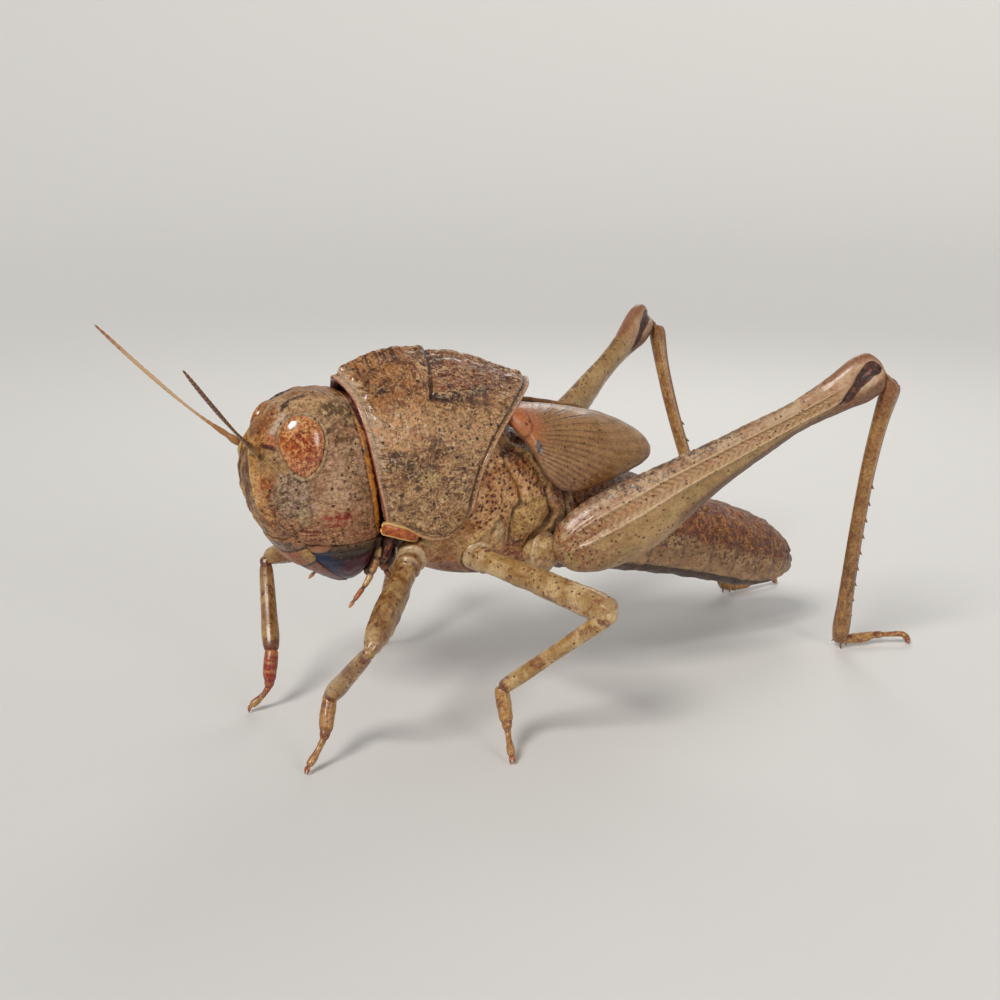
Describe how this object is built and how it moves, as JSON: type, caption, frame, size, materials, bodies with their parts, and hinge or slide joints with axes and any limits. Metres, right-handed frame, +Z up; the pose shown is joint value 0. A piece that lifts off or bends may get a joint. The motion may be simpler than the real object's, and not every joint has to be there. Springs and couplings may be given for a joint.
{
  "type": "grasshopper",
  "caption": "A locust nymph standing with raised head, arched neck shield, short wing pads and long folded hind legs, as a still, life-size model.",
  "frame": {"origin": "on the floor under the middle of the overall box", "axes": "+X the animal's left, -Y the way it faces, +Z up; it stands on the plane z = 0"},
  "size_m": [0.023, 0.0444, 0.0208],
  "materials": {
    "eye": "reddish-brown, finely speckled, glossy eye",
    "feeler": "brown ringed feeler, slightly glossy",
    "jaw": "blue-black to purple, smooth hard jaw",
    "lip": "orange-brown cuticle with darker streaks",
    "head": "pinkish tan cuticle with fine dark dots, satin",
    "neck_shield": "pitted and wrinkled tan cuticle with dark patches and pale rims",
    "wing_pad": "smooth brown wing pad with fine spreading veins",
    "thorax": "mottled brown and cream cuticle with deep grooves",
    "abdomen": "granular orange-brown above, pale pinkish grey with dots below",
    "leg": "cream-yellow cuticle with brown dots and pale ridges",
    "shin": "orange-tan cuticle with dark-tipped spines",
    "foot": "cream and reddish-brown jointed foot, satin"
  },
  "bodies": {
    "root": {"abdomen_front": "abdomen", "abdomen_middle": "abdomen", "abdomen_rear": "abdomen", "abdomen_tip": "abdomen", "antenna_left": "feeler", "antenna_right": "feeler", "eye_left": "eye", "eye_right": "eye", "fore_coxa_left": "leg", "fore_coxa_right": "leg", "fore_femur_left": "leg", "fore_femur_right": "leg", "fore_tarsus_left": "foot", "fore_tarsus_right": "foot", "fore_tibia_left": "shin", "fore_tibia_right": "shin", "head": "head", "hind_coxa_left": "leg", "hind_coxa_right": "leg", "hind_femur_left": "leg", "hind_femur_right": "leg", "hind_tarsus_left": "foot", "hind_tarsus_right": "foot", "hind_tibia_left": "shin", "hind_tibia_right": "shin", "labial_palp_left": "feeler", "labial_palp_right": "feeler", "mandible_left": "jaw", "mandible_right": "jaw", "maxillary_palp_left": "feeler", "maxillary_palp_right": "feeler", "mid_coxa_left": "leg", "mid_coxa_right": "leg", "mid_femur_left": "leg", "mid_femur_right": "leg", "mid_tarsus_left": "foot", "mid_tarsus_right": "foot", "mid_tibia_left": "shin", "mid_tibia_right": "shin", "pronotum": "neck_shield", "thorax": "thorax", "upper_lip": "lip", "wing_pad_left": "wing_pad", "wing_pad_right": "wing_pad"}
  },
  "joints": []
}
